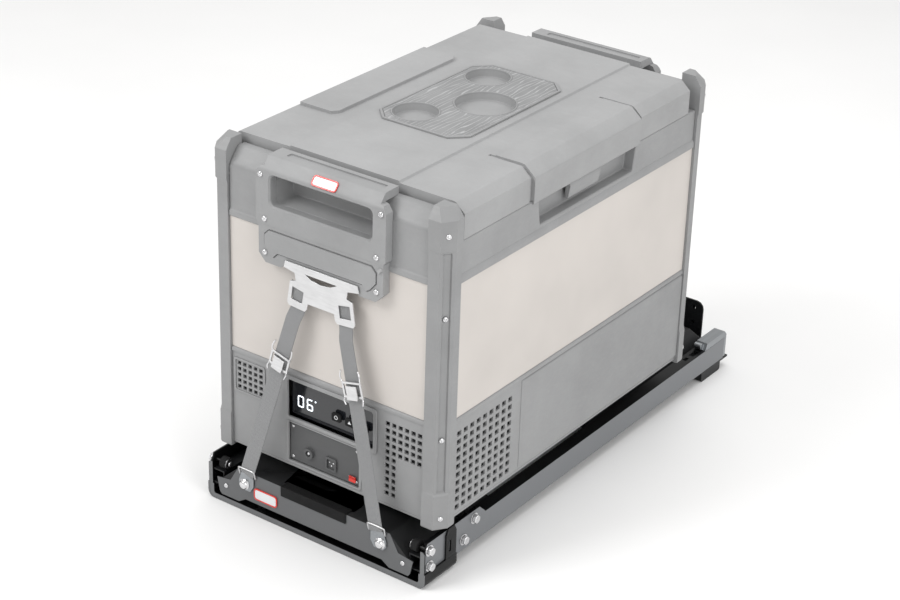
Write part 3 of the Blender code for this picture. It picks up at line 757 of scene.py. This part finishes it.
for sign, word, near in ((-1, "front", 320.3), (1, "rear", 307.3)):
    section = [
        (near, 492.3), (PANEL_Y, 492.3), (PANEL_Y, 573), (352, 580), (338, 597), (334, 599.8), (near, 600),
    ]
    lip_section = [(352, 492.3), (358.2, 492.3), (358.2, 501), (354, 506), (352, 506)]
    solid = plate("X", -INNER_X, INNER_X, section)
    lower_lip = plate("X", -INNER_X, INNER_X, lip_section)
    pocket = loft([
        [(x, near + 4.2, z) for x, z in rounded(-88, 88, 545, 584, 9)],
        [(x, 366, z) for x, z in rounded(-99, 99, 536, 592, 11)],
    ])
    solid, lower_lip, pocket = [facing(part, sign, "Y") for part in (solid, lower_lip, pocket)]
    piece("rim_" + word, solid, "case", CARRIAGE, 1.6, 3,
          ["rim_end_" + word], cut=[pocket], add=[lower_lip])

    frame_outline = [
        (-121, 512), (-121, 588), (-114, 598), (-104, 600.5), (104, 600.5), (114, 598), (121, 588),
        (121, 512), (117, 507), (-117, 507),
    ]
    body_section = [
        (356.2, 500), (372, 500), (372, 592), (369.5, 597), (358, 611.5), (354, 613.4), (326, 613.6),
        (326, 600.4), (356.2, 600.4),
    ]
    slope = [(372.4, 591.4), (369.5, 597), (358, 611.5), (357, 616), (385, 616), (385, 591.4)]
    top_block = plate("X", -108, 108, body_section)
    side_block = plate("Y", 356.2, 372, frame_outline)
    mouth = loft([
        [(x, 350, z) for x, z in rounded(-95, 95, 539, 588, 9)],
        [(x, 369, z) for x, z in rounded(-95, 95, 539, 588, 9)],
        [(x, 380, z) for x, z in rounded(-104, 104, 530, 597, 15)],
    ])
    slot = plate("Z", 611.2, 620, rounded(-84, 96, 334, 346, 3))
    low_cut = plate("X", -130, 130, rect(340, 380, 480, 506.9))
    slope_cut = plate("X", -130, 130, slope)
    side_block, top_block = [facing(part, sign, "Y") for part in (side_block, top_block)]
    cuts = [facing(part, sign, "Y") for part in (low_cut, slope_cut, mouth, slot)]
    piece("handle_frame_" + word, side_block, "case", CARRIAGE, 1.5, 3,
          ["handle_" + word], add=[top_block], cut=cuts)

    apron = [
        (-117, 506.6), (-117, 458), (-104, 444.5), (-74, 444.5), (-67, 451.5), (67, 451.5), (74, 444.5),
        (104, 444.5), (117, 458), (117, 506.6),
    ]
    raised = [
        (-96, 499), (96, 499), (104, 491), (104, 474), (94, 462), (88, 458), (80, 466), (-80, 466),
        (-88, 458), (-94, 462), (-104, 474), (-104, 491),
    ]
    base_plate = plate("Y", 356.2, 371.2, apron)
    panel = plate("Y", 370.4, 373.0, raised)
    groove_ring = hoop("Y", 369.4, 374.0, grown(raised, 1.8), grown(raised, 0.02))
    wedge = loft([
        [(107, 371.0, 497), (113, 371.0, 503), (116, 371.0, 498), (110, 371.0, 491)],
        [(107, 374.0, 497), (112.5, 374.0, 502), (115, 374.0, 498), (110, 374.0, 492)],
    ])
    base_plate, panel, groove_ring = [facing(part, sign, "Y") for part in (base_plate, panel, groove_ring)]
    piece("handle_apron_" + word, base_plate, "case", CARRIAGE, 1.3, 3,
          cut=[groove_ring], add=[panel])
    if word == "front":
        piece("apron_wedge", facing(wedge, sign, "Y"), "lid", CARRIAGE, 0.5, 2)

screws = []
for sign in (-1, 1):
    for x, z in ((112, 586), (104.5, 516), (105, 461)):
        for side in (-1, 1):
            y = 371.4 if z < 507 else 372
            screws.append(button_screw((side * x, sign * y, z), (0, sign, 0), 4.6, 2.4))
piece("handle_screws", merged(*screws), "bright", CARRIAGE, 0.0)

post_screws = []
for sx in (-1, 1):
    for sy in (-1, 1):
        out = Vector((20.0 * sx, 14.0 * sy, 0.0)).normalized()
        for z, sink in ((575, 0.2), (443.5, 4.2), (243.5, 4.2), (110, 0.2)):
            spot = Vector((sx * (HALF_W - 7.0), sy * (HALF_L - 10.0), z)) - out * sink
            post_screws.append(button_screw(spot, out, 4.4, 2.2))
piece("post_screws", merged(*post_screws), "bright", CARRIAGE, 0.0)

# --- case trim

# Turned-out lips along the bottom of the rims and of the sand-coloured panels
for side, word in ((-1, "left"), (1, "right")):
    lip = [(217.2, 492.6), (220.2, 492.6), (220.2, 501), (217.8, 505.6), (217.2, 505.6)]
    solid = facing(plate("Y", -325, 325, lip), side, "X")
    piece("rim_lip_" + word, solid, "case", CARRIAGE, 0.6, 2)
    ledge = [(217.8, 262.0), (219.8, 262.0), (219.8, 266.5), (217.8, 269.3)]
    solid = facing(plate("Y", -325, 325, ledge), side, "X")
    piece("case_ledge_" + word, solid, "case", CARRIAGE, 0.5, 2)

for sign, word in ((-1, "front"), (1, "rear")):
    ledge = [(356.0, 262.0), (358.0, 262.0), (358.0, 266.5), (356.0, 269.3)]
    solid = facing(plate("X", -187, 187, ledge), sign, "Y")
    piece("case_ledge_" + word, solid, "case", CARRIAGE, 0.5, 2)

# Raised field behind the side vent
step_field = loft([
    [(217.8, y, z) for y, z in ((-150, 103), (325, 103), (325, 260), (-150, 260))],
    [(220.0, y, z) for y, z in ((-143, 107), (325, 107), (325, 256), (-143, 256))],
])
piece("side_field_right", step_field, "case", CARRIAGE, 0.6, 2)
piece("side_field_left", flipped(step_field, "X"), "case", CARRIAGE, 0.6, 2)

# Perforated lower panels with dark filter screens behind their vents
FRONT_HOLES = grid(-177, -126, 198, 246, 5, 5, 7, 6.5) + grid(114, 182, 188, 244, 6, 5, 8, 7.5)
FRONT_HOLES += grid(114, 134, 115.6, 183.5, 2, 6, 8, 7.5)
FRONT_HOLES += [(-76, 93, 184, 251), (-74, 66, 106, 176)]
END_FIELD = (-INNER_X, INNER_X, PANEL_LOW, PANEL_HIGH)
SIDE_FIELD = (-INNER_Y, INNER_Y, PANEL_LOW, PANEL_HIGH)
PANELS = (
    ("front_lower_panel", "Y", -PANEL_Y, -PANEL_Y + WALL, END_FIELD, FRONT_HOLES),
    ("rear_lower_panel", "Y", PANEL_Y - WALL, PANEL_Y, END_FIELD, grid(-60, 60, 150, 230, 7, 5, 9, 8)),
    ("side_lower_panel_right", "X", PANEL_X - WALL, PANEL_X, SIDE_FIELD,
     grid(-316, -174, 108, 244, 9, 10, 10, 8.5)),
    ("side_lower_panel_left", "X", -PANEL_X, -PANEL_X + WALL, SIDE_FIELD,
     grid(-300, -200, 120, 230, 5, 5, 10, 8.5)),
)
for name, axis, low, high, field, holes in PANELS:
    item = mesh_object(name + "_skin", perforated(axis, low, high, field, holes))
    finished(item, M["case"], 0.45, 2, 30.0, False)
    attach(item, CARRIAGE)
    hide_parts(name)

SCREENS = (
    ("Y", -346.4, -344.2, -184, -119, 190, 254), ("Y", -346.4, -344.2, 106, 186, 108, 252),
    ("Y", 344.2, 346.4, -68, 68, 142, 238), ("X", 207.6, 209.6, -322, -168, 102, 250),
    ("X", -209.6, -207.6, -308, -190, 112, 238),
)
for k, (axis, low, high, u0, u1, v0, v1) in enumerate(SCREENS):
    item = mesh_object("vent_screen_%d" % (k + 1), plate(axis, low, high, rect(u0, u1, v0, v1)))
    near, far = (high, high + 1.6) if low > 0 else (low - 1.6, low)
    ribs = [plate(axis, near - 0.1, far + 0.1, rect(u0 + 2, u1 - 2, v, v + 1.4))
            for v in (v0 + 8, (v0 + v1) / 2, v1 - 8)]
    combine(item, ribs, "UNION")
    finished(item, M["case_dark"], 0.3, 2)
    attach(item, CARRIAGE)

# Front: framed display recess and vent surround
bezel = hoop("Y", -357.6, -355.9, rounded(-82, 99, 179, 257, 6), rounded(-75, 92, 185, 250, 5))
piece("display_bezel", bezel, "case", CARRIAGE, 0.6, 2)
vent_frame = hoop("Y", -357.4, -355.9, rounded(-184, -120, 192, 252, 4),
                  rounded(-180, -123, 195.5, 248.5, 3))
piece("vent_frame_left", vent_frame, "case", CARRIAGE, 0.4, 2)
power_frame = hoop("Y", -357.0, -355.9, rounded(-78, 70, 103.5, 177.5, 4),
                   rounded(-73.5, 65.5, 106.5, 175.5, 3))
piece("power_frame", power_frame, "case", CARRIAGE, 0.5, 2)

SEGMENTS = {
    "a": (0, 1, 1, 1), "b": (1, 0.5, 1, 1), "c": (1, 0, 1, 0.5), "d": (0, 0, 1, 0), "e": (0, 0, 0, 0.5),
    "f": (0, 0.5, 0, 1), "g": (0, 0.5, 1, 0.5),
}


def digit(x, z, height, lit):
    """Seven-segment figure facing -Y."""
    width = height * 0.55
    bars = []
    for key in lit:
        u0, v0, u1, v1 = SEGMENTS[key]
        a = Vector((x + u0 * width, z + v0 * height))
        b = Vector((x + u1 * width, z + v1 * height))
        along = (b - a).normalized()
        across = Vector((-along.y, along.x)) * 0.7
        a = a + along * 1.1
        b = b - along * 1.1
        outline = [a - along * 0.9, a + across, b + across, b + along * 0.9, b - across, a - across]
        bars.append(plate("Y", -347.9, -347.2, [(p.x, p.y) for p in outline]))
    return bars


figures = digit(-61, 203, 18, "abcdef") + digit(-43, 203, 18, "acdefg")
figures += [turned([(1.2, 0), (1.2, 0.6), (0.6, 0.7)], (-27, -347.2, 221), (0, -1, 0), 16)]
piece("display_figures", merged(*figures), "digits", CARRIAGE, 0.0)
symbols = {
    "power": [disc("Y", 18, 213, -354.05, -353.5, 3.4, 24, 2.5)],
    "up": [plate("Y", -354.05, -353.5, [(41, 211), (47, 211), (44, 216)])],
    "down": [plate("Y", -354.05, -353.5, [(67, 215), (70, 210), (73, 215)])],
}
for word, solids in symbols.items():
    piece("key_symbol_" + word, merged(*solids), "symbol", "button_" + word, 0.0)

prongs = [disc("Y", x, z, -353.9, -352.2, 1.2, 12) for x, z in ((5.5, 129.5), (9.5, 124.0), (13.5, 129.5))]
prongs.append(disc("Y", -34, 131, -357.0, -352.0, 2.2, 16))
piece("power_prongs", merged(*prongs), "bright", CARRIAGE, 0.0)
panel_screws = [button_screw((x, -353.0, z), (0, -1, 0), 2.4, 1.2) for x in (-66, 59) for z in (114, 168)]
piece("panel_screws", merged(*panel_screws), "bright", CARRIAGE, 0.0)

# Blank badges: a pale field inside a red border
badge_border = hoop("Y", -374.0, -372.1, rounded(-17, 29, 594.5, 611.5, 5),
                    rounded(-15, 27, 596.5, 609.5, 3.6))


def leaned(solid, y0, z0, angle):
    """A solid tipped about an X axis through (y0, z0)."""
    turn = Matrix.Rotation(math.radians(angle), 3, "X")
    moved = []
    for x, y, z in solid[0]:
        p = turn @ Vector((0, y - y0, z - z0))
        moved.append((x, y0 + p.y, z0 + p.z))
    return moved, solid[1]


badge_face = plate("Y", -373.4, -372.1, rounded(-14.8, 26.8, 596.7, 609.3, 3.5))
piece("badge_border", leaned(badge_border, -372, 594, -38.4), "red", CARRIAGE, 0.3, 2)
piece("badge_field", leaned(badge_face, -372, 594, -38.4), "plate", CARRIAGE, 0.0)
tray_border = hoop("Y", -390.6, -388.8, rounded(-117, -70, 33, 53.5, 5.5), rounded(-115, -72, 35, 51.5, 4))
tray_face = plate("Y", -390.0, -388.8, rounded(-114.8, -72.2, 35.2, 51.3, 3.9))
piece("tray_badge_border", tray_border, "red", CARRIAGE, 0.3, 2)
piece("tray_badge_field", tray_face, "plate", CARRIAGE, 0.0)

# --- slide hardware

bolts = []
for side in (-1, 1):
    for y, z in ((-258, ROLLER_Z), (-285, 39), (-373, ROLLER_Z), (-372, 36)):
        bolts.append(hex_bolt((side * 213.0, y, z), (side, 0, 0), 7.5, 7.6, 9.4))
piece("rail_bolts", merged(*bolts), "bright", FRAME, 0.0)
CAP = [(4.0, 0), (4.2, 0.4), (4.2, 2.4), (3.6, 3.2), (2.0, 3.4), (0.1, 3.4)]
SEAL = [(6.1, 0), (6.2, 0.2), (6.2, 0.7), (5.8, 0.9), (0.1, 0.9)]
caps, seals, races = [], [], []
for side in (-1, 1):
    for y in (-258, -373):
        caps.append(turned(CAP, (side * 182.6, y, ROLLER_Z), (-side, 0, 0), 24,
                           lambda k, a, r: hexed(a, r) if k < 3 else r))
        seals.append(turned(SEAL, (side * 184.2, y, ROLLER_Z), (-side, 0, 0), 28))
        race = hoop("X", 183.3, 184.3, circle(y, ROLLER_Z, 8.8, 36), circle(y, ROLLER_Z, 6.3, 36))
        races.append(facing(race, side, "X"))
piece("roller_races", merged(*races), "bright", FRAME, 0.0)
piece("roller_seals", merged(*seals), "rubber", FRAME, 0.0)
piece("roller_caps", merged(*caps), "bright", FRAME, 0.0)

# Two rivets on the edge of each of the tray's four pads
RIVET = [(4.4, 0), (4.6, 0.3), (4.4, 1.0), (3.4, 1.7), (1.8, 2.0), (1.5, 1.6), (0.1, 1.5)]
rivets = []
for x, y in ((-120, -236), (120, -236), (-120, 206), (120, 206)):
    aim = math.atan2(-1 if y < 0 else 1, -1 if x > 0 else 1)
    for a in (aim - math.radians(72), aim + math.radians(72)):
        spot = (x + 28.2 * math.cos(a), y + 28.2 * math.sin(a), 80.1)
        rivets.append(turned(RIVET, spot, (0, 0, 1), 24))
piece("pad_rivets", merged(*rivets), "bright", CARRIAGE, 0.0)
tray_bolt = [(9.2, 0), (9.6, 0.4), (9.4, 1.6), (7.2, 2.2), (6.9, 4.6), (5.6, 6.0), (3.0, 6.7), (0.1, 6.9)]
tray_bolts = [turned(tray_bolt, (x, -391.2, 54), (0, -1, 0), 28) for x in (-135, 135)]
tray_bolts += [button_screw((x, -388.7, 34), (0, -1, 0), 4.0, 2.0) for x in (-176, 176)]
piece("tray_bolts", merged(*tray_bolts), "bright", CARRIAGE, 0.0)

# --- tie-down

HOOK_X = 5.0
hook = [
    (-68, 461), (68, 461), (71, 450), (50, 446), (48, 434), (59, 431), (64.5, 395), (61, 390), (31, 387.5),
    (27, 392), (25, 402), (-25, 402), (-27, 392), (-31, 387.5), (-61, 390), (-64.5, 395), (-59, 431),
    (-48, 434), (-50, 446), (-71, 450),
]
windows = [
    [(-54, 423), (-33, 419), (-36, 399), (-57, 402)],
    [(54, 423), (33, 419), (36, 399), (57, 402)],
    [(-30, 449.5), (30, 449.5), (18, 443.5), (0, 441), (-18, 443.5)],
]
hook, *windows = [[(x + HOOK_X, z) for x, z in outline] for outline in (hook, *windows)]
hook_solid = plate("Y", -374.9, -372.6, hook, windows)
piece("hook_plate_steel", hook_solid, "hook", CARRIAGE, 0.5, 3, ["hook_plate"])

# Each strap's x and z at the hook plate's lower edge and at its anchor
STRAPS = {"left": (-38.5, 396, -129, 74), "right": (48.5, 396, 128, 74)}
STRAP_Y = -376.6
STRAP_LEAN = -16.2
BUCKLE_Z = 293.0


def strap_centre(strap, z):
    x0, z0, x1, z1 = strap
    part = (z0 - z) / (z0 - z1)
    return x0 + (x1 - x0) * part, STRAP_Y + STRAP_LEAN * part


# The webbing's cross section, in half widths and half thicknesses
WEB_SECTION = (
    (-1, 0.35), (-0.93, 1), (-0.5, 1.1), (0, 1.12), (0.5, 1.1), (0.93, 1), (1, 0.35),
    (1, -0.35), (0.93, -1), (0.5, -1.0), (0, -1.0), (-0.5, -1.0), (-0.93, -1), (-1, -0.35),
)


def webbing(name, strap, word):
    """A flat strap with rounded edges and a slight sag, its top end behind the hook plate."""
    width = 13.5
    half = 0.8
    stations = 64
    loops = []
    spread = []
    run = 0.0
    last = None
    top = 428.0
    hang = HOOK_X - 44.5 if word == "left" else HOOK_X + 44.5
    x0, z0, x1, z1 = strap
    down = Vector((x1 - x0, STRAP_LEAN, z1 - z0)).normalized()
    for k in range(stations + 1):
        part = k / stations
        z = top + (z1 - top) * part
        x, y = strap_centre(strap, min(z, z0))
        y += 0.5 * math.sin(math.pi * part) + 0.25 * math.sin(9.0 * part + (1.0 if word == "left" else 2.4))
        behind = min(1.0, max(0.0, (z - 366.0) / 24.0))
        behind = behind * behind * (3 - 2 * behind)
        y += (-371.2 - y) * behind
        upper = min(1.0, max(0.0, (z - 380.0) / 30.0))
        x += (hang - x) * upper
        here = Vector((x, y, z))
        if last is not None:
            run += (here - last).length
        last = here
        tilt = 0.03 * math.sin(6.0 * part + 1.0)
        across = Vector((0, 1, 0)).cross(down).normalized()
        across = (Matrix.Rotation(tilt, 3, down) @ across).normalized()
        out = across.cross(down).normalized()
        if out.y > 0:
            out = -out
        loops.append([tuple(here + across * u * width + out * v * half) for u, v in WEB_SECTION])
        spread.append(run)
    item = mesh_object(name, loft(loops))
    mesh = item.data
    layer = mesh.uv_layers.new(name="along")
    count = len(WEB_SECTION)
    for polygon in mesh.polygons:
        for corner in polygon.loop_indices:
            station, side = divmod(mesh.loops[corner].vertex_index, count)
            u = side / (count - 1) * 2.0
            layer.data[corner].uv = (u, spread[min(station, stations)] / 100.0)
    finished(item, M["webbing"], 0.0)
    return item


for word, strap in STRAPS.items():
    web = webbing("strap_web_" + word, strap, word)
    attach(web, CARRIAGE)
    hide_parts("strap_" + word)

    x0, z0, x1, z1 = strap
    down = Vector((x1 - x0, 0, z1 - z0)).normalized()
    across = Vector((-down.z, 0, down.x))
    if across.x < 0:
        across = -across
    front = Vector((0, -1, 0))
    cx, cy = strap_centre(strap, BUCKLE_Z)
    origin = Vector((cx, cy, BUCKLE_Z))

    def local(u, v, w):
        """Across, down the strap and out from it, in millimetres."""
        return tuple(origin + across * u + down * v + front * w)

    def strip(u0, u1, v0, v1, w0, w1):
        return loft([[local(u0, v, w) for v, w in ((v0, w0), (v1, w0), (v1, w1), (v0, w1))],
                     [local(u1, v, w) for v, w in ((v0, w0), (v1, w0), (v1, w1), (v0, w1))]])

    frame_bars = [
        strip(-18.5, 18.5, -14, -10.5, 1.1, 3.6), strip(-18.5, 18.5, 8, 12, 1.1, 3.6),
        strip(-18.5, -15, -10.6, 8.1, 1.1, 3.6), strip(15, 18.5, -10.6, 8.1, 1.1, 3.6),
    ]
    piece("buckle_frame_" + word, merged(*frame_bars), "hook", CARRIAGE, 0.4, 3)
    prong_wires = []
    for s in (-1, 1):
        for path in (
            [(17, -13, 3.0), (18.6, -19, 3.4), (18.2, -26, 3.0), (16.2, -32, 2.2)],
            [(17, 11, 3.0), (18.4, 16, 4.6), (16.4, 23, 4.4)],
        ):
            prong_wires.append(tube(smooth_path([local(s * u, v, w) for u, v, w in path]), 1.15))
    piece("buckle_wires_" + word, merged(*prong_wires), "bright", CARRIAGE, 0.0)
    section = [
        (13, 4.0), (-6, 4.0), (-8, 5.0), (-8, 6.0), (-5, 6.2), (6, 6.3), (12, 7.6), (14, 7.6), (14, 6.4),
    ]
    lever = loft([[local(-10, v, w) for v, w in section], [local(10, v, w) for v, w in section]])
    piece("cam_lever_" + word, lever, "hook", "buckle_lever_" + word, 0.4, 3,
          ["buckle_lever_" + word])

    anchor_outline = [
        (x1 + x, z) for x, z in ((-12, 76), (12, 76), (12, 54), (5, 43), (-12, 43), (-18, 50), (-18, 58))
    ]
    if word == "right":
        anchor_outline = [(2 * x1 - x, z) for x, z in anchor_outline]
    anchor = plate("Y", -391.3, -389.2, anchor_outline)
    piece("strap_anchor_" + word, anchor, "rail", CARRIAGE, 0.5, 3)
    bar_y = strap_centre(strap, z1 + 4)[1]
    loop_path = smooth_path([
        (x1 - 15.5, -390.4, 70), (x1 - 16, bar_y - 0.2, 80), (x1 - 14, bar_y - 1.6, 84),
        (x1, bar_y - 1.8, 84.6), (x1 + 14, bar_y - 1.6, 84), (x1 + 16, bar_y - 0.2, 80),
        (x1 + 15.5, -390.4, 70),
    ])
    piece("strap_wire_" + word, tube(loop_path, 1.3), "hook", CARRIAGE, 0.0)

# --- stage, light and camera

floor_mesh = bpy.data.meshes.new("floor")
floor_corners = [(x, y, -0.0004) for x, y in ((-30, -30), (30, -30), (30, 30), (-30, 30))]
floor_mesh.from_pydata(floor_corners, [], [(0, 1, 2, 3)])
floor = bpy.data.objects.new("floor", floor_mesh)
bpy.context.scene.collection.objects.link(floor)
floor_paint = Paint("studio_floor")
floor_tones = [(0.3, (0.86, 0.86, 0.86)), (0.7, (0.88, 0.88, 0.88))]
floor_paint.colour(floor_paint.ramp(floor_paint.noise(3.0, 2.0), floor_tones))
floor_paint.rough(0.7)
floor_mesh.materials.append(floor_paint.material)

world = bpy.data.worlds.new("studio")
bpy.context.scene.world = world
world.use_nodes = True
background = world.node_tree.nodes["Background"]
background.inputs["Color"].default_value = (1.0, 0.995, 0.985, 1.0)
background.inputs["Strength"].default_value = 0.7


def softbox(name, place, width, power):
    """A square area light aimed at the fridge."""
    light = bpy.data.lights.new(name, "AREA")
    light.shape = "RECTANGLE"
    light.size = width
    light.size_y = width
    light.energy = power
    item = bpy.data.objects.new(name, light)
    item.location = place
    item.rotation_euler = (Vector((0, 0, 0.3)) - Vector(place)).to_track_quat("-Z", "Y").to_euler()
    bpy.context.scene.collection.objects.link(item)


softbox("key", (-1.6, -2.6, 3.0), 1.8, 75)
softbox("fill", (3.2, -1.2, 2.0), 2.2, 52)
softbox("top", (0.2, 0.8, 3.4), 2.4, 40)

# The camera fitted to the photo
AZIMUTH = math.radians(35.396)
ELEVATION = math.radians(26.8706)
ROLL = math.radians(1.8407)
level = math.cos(ELEVATION)
back = Vector((math.sin(AZIMUTH) * level, -math.cos(AZIMUTH) * level, math.sin(ELEVATION)))
right = Vector((math.cos(AZIMUTH), math.sin(AZIMUTH), 0.0))
up = back.cross(right)
cam_x = right * math.cos(ROLL) + up * math.sin(ROLL)
cam_y = up * math.cos(ROLL) - right * math.sin(ROLL)
camera_data = bpy.data.cameras.new("camera")
camera_data.sensor_width = 36.0
camera_data.lens = 86.81
camera = bpy.data.objects.new("camera", camera_data)
basis = Matrix((cam_x, cam_y, back)).transposed().to_4x4()
basis.translation = Vector((1.8065, -2.5822 + SHIFT_Y * 0.001, 1.8647))
camera.matrix_world = basis
bpy.context.scene.collection.objects.link(camera)
bpy.context.scene.camera = camera
bpy.context.scene.view_settings.view_transform = "Standard"
